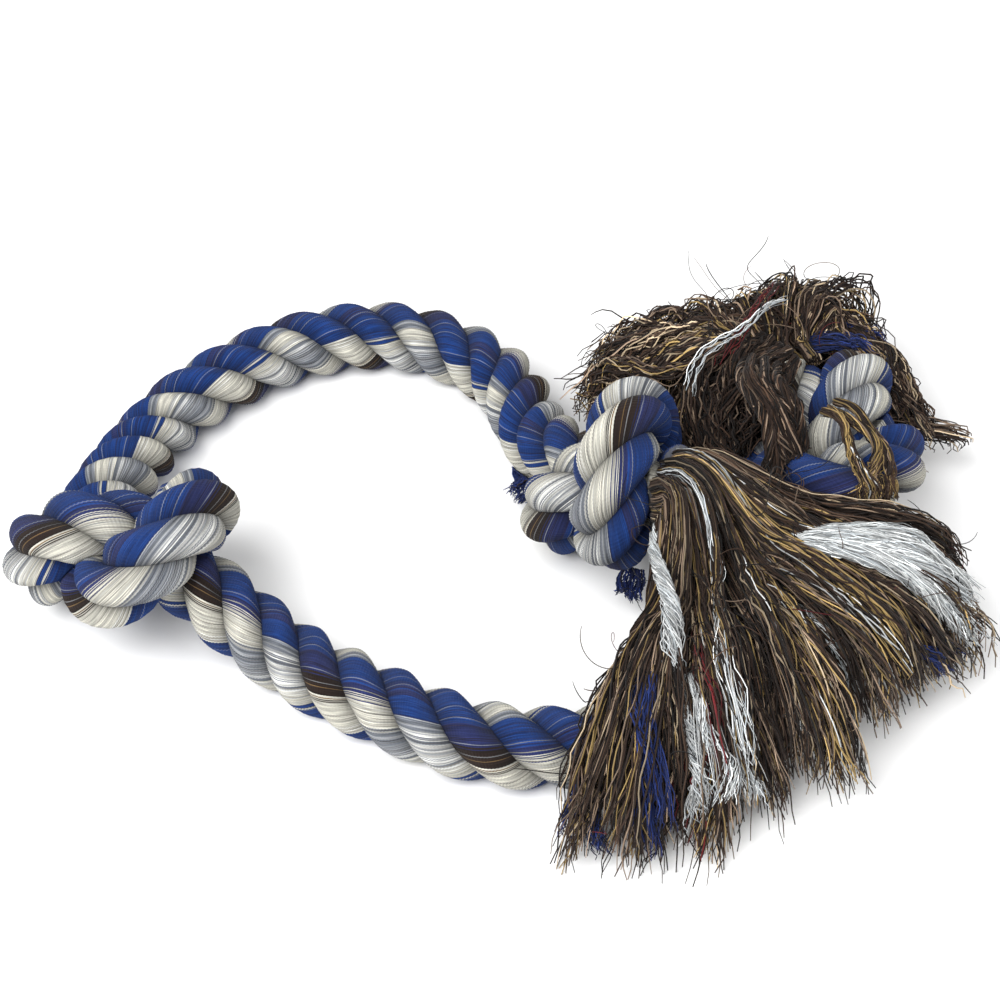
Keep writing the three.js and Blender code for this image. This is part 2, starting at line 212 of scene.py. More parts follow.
def place_knot(pull, at):
    """A pulled knot with its middle at its place, lowered until its flat is on the floor."""
    pts = pull_knot(*pull)
    size = ROPE * KNOT_GRIP
    inner = pts[np.linalg.norm(pts, axis=1) < KNOT_REACH - KNOT_ENDS]
    low = inner[inner[:, 2].argmin()]
    middle = 0.5 * (inner.min(0) + inner.max(0))
    move = np.array([at[0] * ROPE, at[1] * ROPE, 0]) - middle * size
    move[2] = ROPE / 2 - FLOOR_CUT - low[2] * size
    return {"line": pts * size + move, "middle": middle * size + move, "low": low * size + move}


centre = place_knot(MIDDLE_PULL, MIDDLE_KNOT)
knot_a = place_knot(A_PULL, END_KNOT_A)
knot_b = place_knot(B_PULL, END_KNOT_B)
HOME = np.array([centre["low"][0], centre["low"][1], 0])
for knot in (centre, knot_a, knot_b):
    for part in knot:
        knot[part] = knot[part] - HOME
centre["line"] = centre["line"][MIDDLE_TRIM:-MIDDLE_TRIM]


def place(point):
    """A layout point in metres; a point without a height lies on the floor."""
    height = point[2] * ROPE if len(point) > 2 else ROPE / 2 + CLEARANCE / 2
    return np.array([point[0] * ROPE, point[1] * ROPE, height]) - HOME


def make_camera():
    data = bpy.data.cameras.new("camera")
    data.lens = CAMERA_LENS
    data.sensor_width = CAMERA_SENSOR
    camera = bpy.data.objects.new("camera", data)
    camera.location = np.array(CAMERA_AT) - HOME
    camera.rotation_euler = (math.radians(CAMERA_TILT), 0, 0)
    bpy.context.collection.objects.link(camera)
    bpy.context.scene.camera = camera


make_camera()


# The rope's line
def to_stub(knot):
    """The knot's line from its arm to where the tassel begins."""
    away = np.linalg.norm(knot["line"] - knot["middle"], axis=1)
    last = len(away)
    while away[last - 2] > STUB * ROPE:
        last -= 1
    return knot["line"][:last]


def arm(start, inside, route, knot):
    ends = [knot["line"][0], knot["line"][KNOT_LEAD]]
    return curve_through([inside, start, *[place(p) for p in route], *ends])


def rope_axis():
    """The rope's axis, from tassel A through the three knots to tassel B."""
    line = centre["line"]
    back = arm(line[0], line[KNOT_LEAD], BACK_ARM, knot_a)
    front = arm(line[-1], line[-1 - KNOT_LEAD], FRONT_ARM, knot_b)
    whole = np.vstack([np.vstack([back, to_stub(knot_a)])[::-1], line, front, to_stub(knot_b)])
    pts = spaced(whole, 2 * round(lengths_along(whole)[-1] / (LAY / RINGS_PER_LAY)) + 1)
    smooth(pts)
    return pts


def carried_across(line):
    """Directions along a line, and directions across it that do not turn round it."""
    along = unit(np.vstack([line[1:], line[-1:]]) - np.vstack([line[:1], line[:-1]]))
    across = np.zeros_like(line)
    n = np.array([0.0, 0.0, 1.0])
    for i, direction in enumerate(along):
        n = unit(n - direction * (n @ direction))
        across[i] = n
    return along, across


AXIS = rope_axis()
ALONG, ACROSS = carried_across(AXIS)
RUN = np.linspace(0, lengths_along(AXIS)[-1], len(AXIS))


def nearest(point):
    return int(np.linalg.norm(AXIS - point, axis=1).argmin())


def first_phase():
    """The turn at which the first strand faces the floor under the middle knot."""
    at = nearest(centre["low"])
    b = np.cross(ALONG[at], ACROSS[at])
    return math.atan2(-b[2], -ACROSS[at][2]) - 2 * math.pi * RUN[at] / LAY


PHASE = first_phase()
FINE = 3  # fine points for each point of the axis


def fine_line():
    """The axis with points close together, with two directions across it and the run along it."""
    line = curve_through(np.vstack([2 * AXIS[0] - AXIS[1], AXIS, 2 * AXIS[-1] - AXIS[-2]]), FINE)
    at = np.arange(len(line)) / FINE
    coarse = np.arange(len(AXIS))
    along = unit(np.gradient(line, axis=0))
    n = np.stack([np.interp(at, coarse, ACROSS[:, k]) for k in range(3)], axis=1)
    n = unit(n - along * (n * along).sum(1)[:, None])
    return line, n, np.cross(along, n), np.interp(at, coarse, RUN)


LINE, LINE_N, LINE_B, LINE_RUN = fine_line()


# Pieces
def make_piece(name, verts, faces, material, uvs, tint, normals=None):
    """A piece made from smooth sides and flat caps, with UV layers and colours at its points, which
    carry painted shade.
    """
    mesh = bpy.data.meshes.new(name)
    corners = np.concatenate([group.ravel() for group in faces]).astype(np.int32)
    sizes = np.concatenate([np.full(len(group), group.shape[1]) for group in faces]).astype(np.int32)
    mesh.vertices.add(len(verts))
    mesh.vertices.foreach_set("co", np.asarray(verts, np.float32).ravel())
    mesh.loops.add(len(corners))
    mesh.loops.foreach_set("vertex_index", corners)
    mesh.polygons.add(len(sizes))
    mesh.polygons.foreach_set("loop_start", np.cumsum(sizes, dtype=np.int32) - sizes)
    mesh.polygons.foreach_set("loop_total", sizes)
    mesh.polygons.foreach_set("use_smooth", np.arange(len(sizes)) < len(faces[0]))
    mesh.update(calc_edges=True)
    for layer_name, uv in uvs.items():
        layer = mesh.uv_layers.new(name=layer_name)
        layer.data.foreach_set("uv", np.asarray(uv, np.float32).ravel())
    layer = mesh.color_attributes.new("Tint", "FLOAT_COLOR", "POINT")
    layer.data.foreach_set("color", np.asarray(tint, np.float32).ravel())
    if normals is not None:
        mesh.normals_split_custom_set_from_vertices(normals.tolist())
    mesh.materials.append(material)
    piece = bpy.data.objects.new(name, mesh)
    bpy.context.collection.objects.link(piece)
    return piece


# Materials: gloss of all cloth, and roughness and sheen of the rope and the yarns
CLOTH_GLOSS = 0.15
ROPE_CLOTH = (0.85, 0.04)
YARN_CLOTH = (0.8, 0.05)


class Nodes:
    """Short ways to add and link the shader nodes of a material or a world."""

    def __init__(self, owner):
        owner.use_nodes = True
        self.owner = owner
        self.tree = owner.node_tree
        self.shader = self.tree.nodes.get("Principled BSDF") or self.tree.nodes["Background"]

    def add(self, kind, inputs, **settings):
        node = self.tree.nodes.new(kind)
        for key, value in settings.items():
            setattr(node, key, value)
        for key, value in inputs.items():
            self.join(value, node.inputs[key])
        return node

    def join(self, value, socket):
        if isinstance(value, bpy.types.NodeSocket):
            self.tree.links.new(value, socket)
        else:
            socket.default_value = value

    def math(self, operation, first, second=0.0):
        return self.add("ShaderNodeMath", {0: first, 1: second}, operation=operation).outputs[0]

    def scaled(self, value, factor, start):
        return self.math("ADD", self.math("MULTIPLY", value, factor), start)

    def centred(self, value, width):
        """A number from 0 to 1 as one to either side of 0."""
        return self.math("MULTIPLY", self.math("SUBTRACT", value, 0.5), width)

    def mix(self, factor, first, second, blend="MIX"):
        inputs = {"Factor": factor, 6: first, 7: second}
        return self.add("ShaderNodeMix", inputs, data_type="RGBA", blend_type=blend).outputs[2]

    def grey(self, value):
        return self.add("ShaderNodeCombineColor", {0: value, 1: value, 2: value}).outputs[0]

    def chance(self, value):
        """A number from 0 to 1 that is fixed for each value."""
        return self.add("ShaderNodeTexWhiteNoise", {"W": value}, noise_dimensions="1D").outputs[0]

    def noise(self, turn, length, per_turn, per_metre, detail):
        x, y = self.math("MULTIPLY", turn, per_turn), self.math("MULTIPLY", length, per_metre)
        at = self.add("ShaderNodeCombineXYZ", {0: x, 1: y}).outputs[0]
        inputs = {"Vector": at, "Scale": 1.0, "Detail": detail}
        return self.add("ShaderNodeTexNoise", inputs).outputs["Fac"]

    def tint(self):
        """The colour given at each point of the mesh, with painted shade in it."""
        return self.add("ShaderNodeVertexColor", {}, layer_name="Tint").outputs["Color"]

    def bands(self, factor, stops):
        """A colour for each stretch of the factor."""
        node = self.add("ShaderNodeValToRGB", {"Fac": factor})
        node.color_ramp.interpolation = "CONSTANT"
        elements = node.color_ramp.elements
        elements.remove(elements[1])
        elements[0].color = stops[0][1]
        for start, colour in stops[1:]:
            elements.new(start).color = colour
        return node.outputs["Color"]

    def seen(self):
        """1 where the camera sees a place, also in metal or through glass, and 0 elsewhere."""
        path = self.add("ShaderNodeLightPath", {}).outputs
        mirrored = self.math("MAXIMUM", path["Is Glossy Ray"], path["Is Transmission Ray"])
        return self.math("MAXIMUM", path["Is Camera Ray"], mirrored)

    def cloth(self, roughness, sheen):
        self.shader.inputs["Roughness"].default_value = roughness
        self.shader.inputs["Specular IOR Level"].default_value = CLOTH_GLOSS
        self.shader.inputs["Sheen Weight"].default_value = sheen


def colour(r, g, b):
    """A colour written in 0 to 255 as it looks, for the shader."""
    values = [v / 255 for v in (r, g, b)]
    return tuple(v / 12.92 if v <= 0.04045 else ((v + 0.055) / 1.055) ** 2.4 for v in values) + (1.0,)


BLUE = colour(26, 62, 130)
DEEP_BLUE = colour(42, 50, 98)
CREAM = colour(228, 225, 212)
WHITE = colour(234, 234, 230)
GREY = colour(128, 133, 142)
PALE_GREY = colour(180, 183, 187)
BROWN = colour(42, 30, 25)
TAN = colour(116, 92, 60)
# black for the painted shade between threads
SHADE_BLACK = colour(20, 18, 18)

# Threads of a strand: their number, the light of each, and how far they wander and stray, in turns
THREADS = 150
THREAD_LIGHT = (0.6, 0.6)
THREAD_WANDER = 0.02
THREAD_STRAY = 0.10
# Painted shade in the grooves between threads, and how round each thread is
THREAD_SHADE = 0.5
THREAD_ROUND = 0.6
STRAY_DRAW, ODD_DRAW = 0.71, 0.37  # shifts that give a thread other chances than its light
# Odd threads: their share, and how much they change
PALE_THREADS = (0.03, 0.4)
BROWN_THREADS = (0.06, 0.5)
# Streaks and flecks: their level, strength and light
STREAKS = (0.6, 0.45)
FLECK_LIGHT = (1.7, 0.15)
FLECK_RISE = 0.6
THREAD_BUMP = {"Strength": 0.8, "Distance": 0.0003}
# Noises: their scale per turn round a strand and per metre along it, and their detail
WANDER_NOISE = (14.0, 70.0, 2.0)
STREAK_NOISE = (80.0, 50.0, 2.0)
FIBRE_NOISE = (120.0, 170.0, 3.0)

# Colours round each strand, by the part of a turn at which they start
STRAND_BANDS = {
    "strand_blue": [
        (0.0, BROWN), (0.07, TAN), (0.08, BROWN), (0.1, CREAM), (0.36, WHITE), (0.38, BLUE),
        (0.76, DEEP_BLUE), (0.92, BROWN),
    ],
    "strand_cream": [
        (0.0, DEEP_BLUE), (0.07, BLUE), (0.22, PALE_GREY), (0.25, GREY), (0.28, WHITE), (0.3, PALE_GREY),
        (0.33, GREY), (0.36, WHITE),
        (0.41, PALE_GREY), (0.44, WHITE), (0.49, GREY), (0.52, WHITE), (0.57, PALE_GREY),
        (0.6, CREAM), (0.7, BLUE),
    ],
    "strand_grey": [
        (0.0, PALE_GREY), (0.03, GREY), (0.06, WHITE), (0.08, PALE_GREY), (0.1, CREAM),
        (0.22, PALE_GREY), (0.25, GREY), (0.28, BLUE), (0.5, DEEP_BLUE), (0.58, CREAM),
        (0.8, PALE_GREY), (0.84, GREY), (0.9, PALE_GREY), (0.94, GREY),
    ],
}


def strand_material(name):
    """Fine parallel yarns in bands of colour that follow the yarns along the strand, with painted shade
    between the threads and in the grooves between strands.
    """
    m = Nodes(bpy.data.materials.new(name))
    uv = m.add("ShaderNodeUVMap", {}, uv_map="Yarn")
    parts = m.add("ShaderNodeSeparateXYZ", {0: uv.outputs[0]})
    turn, length = parts.outputs[0], parts.outputs[1]
    drift = m.centred(m.noise(turn, length, *WANDER_NOISE), THREAD_WANDER)
    thread = m.math("MULTIPLY", m.math("FRACT", m.math("ADD", turn, drift)), float(THREADS))
    number = m.math("FLOOR", thread)
    stray = m.centred(m.chance(m.math("ADD", number, STRAY_DRAW)), THREAD_STRAY)
    place_in_turn = m.math("DIVIDE", number, float(THREADS))
    band = m.math("FRACT", m.math("ADD", place_in_turn, m.math("ADD", stray, 1.0)))
    light = m.scaled(m.chance(number), *THREAD_LIGHT)
    odd = m.chance(m.math("ADD", number, ODD_DRAW))
    pale = m.math("MULTIPLY", m.math("GREATER_THAN", odd, 1 - PALE_THREADS[0]), PALE_THREADS[1])
    brown = m.math("MULTIPLY", m.math("LESS_THAN", odd, BROWN_THREADS[0]), BROWN_THREADS[1])
    streak = m.math("GREATER_THAN", m.noise(turn, length, *STREAK_NOISE), STREAKS[0])
    fibre = m.noise(turn, length, *FIBRE_NOISE)
    wave = m.math("ABSOLUTE", m.math("SINE", m.math("MULTIPLY", thread, math.pi)))
    ridge = m.math("POWER", wave, THREAD_ROUND)
    # painted shade, darkest in the grooves between threads
    painted_thread_shade = m.math("MULTIPLY", m.math("SUBTRACT", 1.0, ridge), THREAD_SHADE)
    shade = m.mix(1.0, m.bands(band, STRAND_BANDS[name]), m.grey(light), "MULTIPLY")
    shade = m.mix(pale, shade, PALE_GREY)
    shade = m.mix(brown, shade, BROWN)
    shade = m.mix(m.math("MULTIPLY", streak, STREAKS[1]), shade, GREY, "MULTIPLY")
    shade = m.mix(1.0, shade, m.grey(m.scaled(fibre, *FLECK_LIGHT)), "MULTIPLY")
    # painted shade between the threads
    shade = m.mix(painted_thread_shade, shade, SHADE_BLACK)
    # painted shade in the grooves between strands, from the colours of the points
    shade = m.mix(1.0, shade, m.tint(), "MULTIPLY")
    m.join(shade, m.shader.inputs["Base Color"])
    height = m.math("ADD", ridge, m.math("MULTIPLY", fibre, FLECK_RISE))
    bump = m.add("ShaderNodeBump", {"Height": height, **THREAD_BUMP})
    m.join(bump.outputs[0], m.shader.inputs["Normal"])
    m.cloth(*ROPE_CLOTH)
    return m.owner


def yarn_material(name):
    """Loose yarns, each in the colour of its own points, with painted shade from root to tip."""
    m = Nodes(bpy.data.materials.new(name))
    m.join(m.tint(), m.shader.inputs["Base Color"])
    m.cloth(*YARN_CLOTH)
    return m.owner


# Strands
ARC_POINTS = 41
ARC_GAP = 0.01  # angle left free at each side of a strand
GROOVE_SHADE = 0.35  # painted shade: light left in the grooves between strands, and how fast it fades there
GROOVE_FADE = 0.7
YARN_TWIST = 12.04  # turn of the yarns in one lay, in radians
RIDGES = ((0.010, 19, 0), (0.008, 31, 1))  # height, number round a strand, and shift by strand
PRESS_ARC = 0.5 * ROPE  # rope this far on along its line can press on itself
PRESS_REACH = 2.2 * ROPE
PRESS_GAP = 0.0001
CORD_OUT = 1.15  # a strand's middle line lies this much further out than its circle


def pressed(directions, reach):
    """Limits a strand's reach from the axis to half way to any other pass of rope."""
    for i, spot in enumerate(LINE):
        other = LINE[np.abs(LINE_RUN - LINE_RUN[i]) > PRESS_ARC] - spot
        other = other[(other**2).sum(1) < PRESS_REACH**2]
        facing = np.maximum(directions[i] @ other.T, 1e-9)
        half = (other**2).sum(1) / (2 * facing)
        reach[i] = np.minimum(reach[i], half.min(1, initial=1.0) - PRESS_GAP)
    return reach


def strand_turn(which):
    return PHASE + 2 * math.pi * LINE_RUN / LAY + 2 * math.pi * which / STRANDS


def strand_rings(which):
    """Rings of points of a whole strand, with their normals, painted shade and places round the yarns.
    """
    angles = np.linspace(-1, 1, ARC_POINTS) * (math.pi / STRANDS - ARC_GAP)
    arc = STRAND_OFFSET * np.cos(angles)
    arc = arc + np.sqrt(STRAND_RADIUS**2 - (STRAND_OFFSET * np.sin(angles)) ** 2)
    round_strand = np.arctan2(arc * np.sin(angles), arc * np.cos(angles) - STRAND_OFFSET)
    start = YARN_TWIST * LINE_RUN[:, None] / LAY
    yarn = (round_strand[None] + start) / (2 * math.pi)
    ridge = sum(
        size * np.sin(2 * math.pi * count * yarn + shift * which) for size, count, shift in RIDGES
    )
    theta = strand_turn(which)[:, None] + angles[None]
    n, b = LINE_N[:, None], LINE_B[:, None]
    directions = np.cos(theta)[..., None] * n + np.sin(theta)[..., None] * b
    reach = pressed(directions, arc[None] * (1 + ridge))
    outer = LINE[:, None] + directions * reach[..., None]
    outer[..., 2] = np.maximum(outer[..., 2], 0)
    inward = -directions[:, ARC_POINTS // 2 : ARC_POINTS // 2 + 1]
    rings = np.concatenate([LINE[:, None] - inward * CLEARANCE, outer], axis=1)
    facing = unit(np.cross(np.gradient(outer, axis=1), np.gradient(outer, axis=0)))
    facing *= np.sign((facing * directions).sum(-1, keepdims=True))
    start_turn = start / (2 * math.pi)
    turns = np.concatenate([start_turn - 0.5, yarn, start_turn + 0.5], axis=1)
    # Painted shade: each strand is darker towards the grooves between strands, where shade falls
    painted_groove_shade = GROOVE_SHADE + (1 - GROOVE_SHADE) * np.cos(angles * STRANDS / 2) ** GROOVE_FADE
    tint = np.ones((len(LINE), ARC_POINTS + 1, 4))
    tint[:, 1:, :3] = painted_groove_shade[None, :, None]
    return rings, np.concatenate([inward, facing], axis=1), tint, turns


BAKE_EDGE = 0.02  # free edge of each row of the bake
CAP_SPOT = 0.0005  # place of all cap faces in it


def tube(rings, turns, run):
    """A closed tube through rings of points, with its yarn coordinates and a folded bake layout."""
    count, size = rings.shape[:2]
    i, k = np.meshgrid(np.arange(count - 1), np.arange(size), indexing="ij")
    nxt = (k + 1) % size
    faces = np.stack([i * size + k, i * size + nxt, (i + 1) * size + nxt, (i + 1) * size + k], axis=-1)
    corners = ((i, k), (i, k + 1), (i + 1, k + 1), (i + 1, k))
    yarn = np.stack([np.stack([turns[r, c], run[r]], axis=-1) for r, c in corners], axis=2)
    rows = max(1, round(math.sqrt(count / size)))
    per_row = math.ceil((count - 1) / rows)
    row = i // per_row
    tall = 1 - 2 * BAKE_EDGE
    bake = [
        np.stack([(r - row * per_row) / per_row, (row + BAKE_EDGE + tall * c / size) / rows], axis=-1)
        for r, c in corners
    ]
    half = np.arange(1, size - 2, 2)
    end = (count - 1) * size
    first_cap = np.stack([0 * half, half + 2, half + 1, half], axis=-1)
    last_cap = end + np.stack([0 * half, half, half + 1, half + 2], axis=-1)
    faces = [faces.reshape(-1, 4), np.vstack([first_cap, last_cap])]
    ends = np.zeros((2 * len(half), 4, 2))
    uvs = {
        "Yarn": np.vstack([yarn.reshape(-1, 4, 2), ends]),
        "OFBake": np.vstack([np.stack(bake, axis=2).reshape(-1, 4, 2), ends + CAP_SPOT]),
    }
    return rings.reshape(-1, 3), faces, uvs


def strand_path(which):
    """The middle line of one strand."""
    turn = strand_turn(which)[:, None]
    return LINE + (np.cos(turn) * LINE_N + np.sin(turn) * LINE_B) * STRAND_OFFSET * CORD_OUT


# Half lengths of the bends at the fold line and at the necks, in points of the axis
FOLD_HALF = 14
NECK_HALF = 8
fold_back, fold_front = nearest(place(FOLD_BACK)), nearest(place(FOLD_FRONT))
neck_a, neck_b = nearest(knot_a["line"][0]), nearest(knot_b["line"][0])
# Each stretch: where it starts and ends on the axis, its bodies, and where and how far it bends
STRETCHES = {
    "knot_a": (0, neck_a + NECK_HALF, ["knot_a", "back_arm"], neck_a, NECK_HALF),
    "back_arm": (
        neck_a + NECK_HALF, fold_back + FOLD_HALF, ["back_arm", "middle"], fold_back, FOLD_HALF,
    ),
    "middle": (fold_back + FOLD_HALF, fold_front - FOLD_HALF, ["middle"], 0, 0),
    "front_arm": (
        fold_front - FOLD_HALF, neck_b - NECK_HALF, ["middle", "front_arm"], fold_front, FOLD_HALF,
    ),
    "knot_b": (neck_b - NECK_HALF, len(AXIS) - 1, ["front_arm", "knot_b"], neck_b, NECK_HALF),
}


def make_strands():
    for which, slot in enumerate(STRAND_BANDS):
        material = strand_material(slot)
        rings, normals, tint, turns = strand_rings(which)
        for stretch, (first, last, bodies, bend_at, half) in STRETCHES.items():
            node = f"{stretch}_strand_{which + 1}"
            span = slice(first * FINE, last * FINE + 1)
            verts, faces, uvs = tube(rings[span], turns[span], LINE_RUN[span])
            # the colours of a strand's points are painted shade only
            points = tint[span].reshape(-1, 4), normals[span].reshape(-1, 3)
            piece = make_piece(f"{node}_cotton", verts, faces, material, uvs, *points)
            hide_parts(node)
            if len(bodies) == 1:
                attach(piece, bodies[0])
            else:
                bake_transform(piece)
            path = strand_path(which)[span]
            if stretch == "knot_a":
                path = path[::-1]


make_strands()

# Yarn colours of the tassels, and the yarns that make up each kind of lock
BARK = colour(35, 25, 20)
UMBER = colour(60, 45, 35)
TAUPE = colour(122, 104, 88)
BUFF = colour(172, 154, 128)
STRAW = colour(138, 116, 74)
PALE = colour(188, 190, 190)
ASH = colour(160, 165, 168)
NAVY = colour(26, 38, 82)
MAROON = colour(84, 24, 26)
SOOT = colour(22, 19, 18)
YARN_KINDS = {
    "brown": [(0.42, BARK), (0.2, UMBER), (0.12, TAUPE), (0.06, STRAW), (0.08, BUFF), (0.12, SOOT)],
    "dark": [(0.5, BARK), (0.2, SOOT), (0.2, UMBER), (0.1, TAUPE)],
    "gold": [(0.24, STRAW), (0.2, UMBER), (0.1, TAUPE), (0.4, BARK), (0.06, PALE)],
    "pale": [(0.7, PALE), (0.3, ASH)],
    "blue": [(0.9, NAVY), (0.1, BARK)],
    "red": [(0.75, MAROON), (0.25, BARK)],
    "stray": [(0.5, SOOT), (0.3, UMBER), (0.12, TAUPE), (0.08, MAROON)],
}
# Kinds of lock in each tuft, from left to right or from top to bottom
LOCK_KINDS = {
    "tassel_a_left": ("across", [(0.8, "brown"), (0.08, "red"), (0.12, "gold")]),
    "tassel_a_front": ("across", [(0.06, "pale"), (0.74, "brown"), (0.2, "gold")]),
    "tassel_a_main": ("down", [(0.25, "gold"), (0.65, "brown"), (0.03, "pale"), (0.07, "red")]),
    "tassel_a_right": ("down", [(0.1, "gold"), (0.76, "brown"), (0.06, "pale"), (0.08, "blue")]),
    "tassel_b_right": ("down", [(0.6, "brown"), (0.1, "gold"), (0.3, "dark")]),
    "tassel_b_back": ("down", [(0.6, "brown"), (0.1, "gold"), (0.25, "dark"), (0.05, "blue")]),
    "tassel_b_left": ("down", [(0.65, "brown"), (0.08, "gold"), (0.04, "red"), (0.23, "dark")]),
}
# Longest yarns of each tuft, by the length of its run
LONGEST = {
    "tassel_a_left": 1.02, "tassel_a_front": 0.98, "tassel_a_main": 0.92, "tassel_a_right": 1.02,
    "tassel_b_right": 1.12, "tassel_b_back": 0.92, "tassel_b_left": 1.15,
}
# Yarns: their points, size and colour, and the kinds that are thinner
YARN_POINTS = 38
YARN_CROWDING = 1.2  # above 1, the points lie closer together near the root
YARN_SIDES = 3
YARN_RADIUS = 0.00029
YARN_SIZES = (0.75, 1.25)
THIN_KINDS = {"stray": 0.55, "pale": 0.6, "blue": 0.8, "red": 0.8}
TINT_SPREAD = 0.42
TAPER = ([0, 0.9, 1], [1, 1, 0.6])  # thickness by the part of the way from root to tip
PAINTED_YARN_SHADE = ([0, 0.3, 1], [0.7, 1, 1.1])  # painted shade, in the same way: darker towards the root, a little lighter at the tip
SLANT = [0.31, 0.87, 0.39]  # the first side of each yarn faces across this direction
CELL_EDGES = (0.05, 0.1)  # free edges of each yarn's cell in the bake, along and across
CELL_LONG = 8  # about how many times as long as high a cell is
# Locks: how many there are in a tuft, their lengths, width, spread, waves and loose tips
LOCKS = 34
YARNS_PER_LOCK = 24
LOCK_LENGTHS = (0.82, 1)
LENGTH_SPREAD = 0.04
LOCK_ROOT = 0.0015
LOCK_TIP = 0.0036
LOCK_TWIST = 5
KIND_SPREAD = 0.12
LOCKS_ROUND = 0.8  # how round a tuft of locks is, from 0 for a square one to 1
SPREAD_OUT = 1.08
SPREAD_LATE = 1.5  # above 1, a lock opens more towards its tip
SWAY, SWAY_TURNS = 0.0034, (5, 10)
CRIMP, CRIMP_TURNS = 0.0006, (22, 70)
LOOSE_TIP, LOOSE_LATE = 0.0016, 3
# Stray yarns: their lengths, how they leave the others, and how fast they come down
STRAY_LENGTHS = (0.012, 0.042)
STRAY_TURN = 0.5
STRAY_RISE = 0.8
STRAY_FALL = 12
# Tufts: places from root to tip, and least height in half thicknesses
TUFT_RINGS = 60
TUFT_LOWEST = 0.8
STUB_CLEAR = 1.2 * ROPE  # end of the rope that its own tassel may run into
HIGHEST = 0.082  # no yarn goes higher
UP = np.array([0.0, 0.0, 1.0])
# Each tassel: half thickness at root and tip, and sag, in rope diameters; mess, and strays in a tuft
# and their curl
TASSEL_LOOKS = {
    "a": ((0.38, 0.3), 0, 1.15, 40, 150),
    "b": ((0.4, 0.55), 0.6, 2.4, 60, 100),
}
SEED = 7


def tuft_sections(stub, forward, tufts, thick, sag):
    """For each tuft: middles, directions across and up, and half widths from root to tip."""
    side = unit(np.cross(UP, forward))
    room = ROPE / len(tufts)
    t = np.linspace(0, 1, TUFT_RINGS)[:, None]
    spines = []
    for i, run in enumerate(tufts.values()):
        root = stub + side * (i - (len(tufts) - 1) / 2) * room
        run = [place(p) for p in run]
        lead = root + forward * TUFT_LEAD * ROPE
        line = curve_through([root - forward * ROPE, root, lead, *run, 2 * run[-1] - run[-2]])
        spines.append(spaced(line, TUFT_RINGS))
    reach = mix(room / 2, TASSEL_SPREAD * ROPE, t)
    outer = [unit(np.cross(UP, np.gradient(line, axis=0))) * reach for line in (spines[0], spines[-1])]
    inner = [0.5 * (a + b) for a, b in zip(spines, spines[1:])]
    edges = [spines[0] - outer[0], *inner, spines[-1] + outer[1]]
    sections = {}
    for i, name in enumerate(tufts):
        across = edges[i + 1] - edges[i]
        wide = 0.5 * np.linalg.norm(across, axis=1)
        tall = unit(np.cross(np.gradient(spines[i], axis=0), across))
        high = mix(*thick, t[:, 0]) * ROPE
        middle = 0.5 * (edges[i] + edges[i + 1]) - tall * t * sag * ROPE
        middle[:, 2] = np.maximum(middle[:, 2], TUFT_LOWEST * high)
        sections[name] = (middle, unit(across), tall, wide, high)
    return sections


def at_parts(values, t):
    """Values given from root to tip, at parts t of the way, carried straight on past the tip."""
    where = t * (len(values) - 1)
    low = np.minimum(where.astype(int), len(values) - 2)
    part = where - low
    if values.ndim > 1:
        part = part[..., None]
    return values[low] * (1 - part) + values[low + 1] * part


def pick(shares, where):
    """Which of the shares each number from 0 to 1 falls in."""
    bounds = np.cumsum([share for share, _ in shares])
    return np.minimum(np.searchsorted(bounds, where * bounds[-1]), len(shares) - 1)


def yarn_tints(kinds, rng):
    """A colour for each yarn, from the mixture of its kind."""
    tints = np.zeros((len(kinds), 4))
    for kind, palette in YARN_KINDS.items():
        mine = kinds == kind
        which = pick(palette, rng.uniform(0, 1, mine.sum()))
        tints[mine] = np.array([tint for _, tint in palette])[which]
    return tints * np.exp(rng.normal(0, TINT_SPREAD, len(kinds)))[:, None]


def waves(rng, count, size, turns, t):
    """For each of count lines, a wave of its own size, place and number of turns."""
    start = rng.uniform(0, 2 * np.pi, count)[:, None]
    return rng.normal(0, size, count)[:, None] * np.sin(start + rng.uniform(*turns, count)[:, None] * t)


def loose_yarns(section, locks, per_lock, twist, mess, longest, rng):
    """Lines of yarns in locks that wave and twist and end unevenly, and the places of the locks."""
    middle, across, tall, wide, high = section
    count = locks * per_lock
    lock = np.repeat(np.arange(locks), per_lock)
    lock_a = rng.permutation(np.linspace(-1, 1, locks)) if locks > 1 else np.zeros(1)
    lock_b = rng.uniform(-1, 1, locks) * np.sqrt(1 - LOCKS_ROUND * lock_a**2)
    length = longest * rng.uniform(*LOCK_LENGTHS, locks)[lock] * rng.normal(1, LENGTH_SPREAD, count)
    steps = np.linspace(0, 1, YARN_POINTS)[None] ** YARN_CROWDING
    t = steps * length[:, None]
    turn = rng.uniform(0, 2 * np.pi, count)[:, None] + rng.normal(0, twist, locks)[lock][:, None] * t
    spread = mix(LOCK_ROOT, LOCK_TIP * mess, t**SPREAD_LATE)
    spread = spread * np.sqrt(rng.uniform(0, 1, count))[:, None]
    sway = [waves(rng, locks, SWAY * mess, SWAY_TURNS, steps)[lock] * t for _ in range(2)]
    crimp = [waves(rng, count, CRIMP * mess, CRIMP_TURNS, t) * np.sqrt(t) for _ in range(2)]
    loose = [rng.normal(0, LOOSE_TIP * mess, count)[:, None] * t**LOOSE_LATE for _ in range(2)]
    a = lock_a[lock][:, None] * at_parts(wide, t) * SPREAD_OUT + spread * np.cos(turn)
    b = lock_b[lock][:, None] * at_parts(high, t) + spread * np.sin(turn)
    a = a + sway[0] + crimp[0] + loose[0]
    b = b + sway[1] + crimp[1] + loose[1]
    lines = at_parts(middle, t) + at_parts(across, t) * a[..., None] + at_parts(tall, t) * b[..., None]
    return lines, lock, lock_a, lock_b


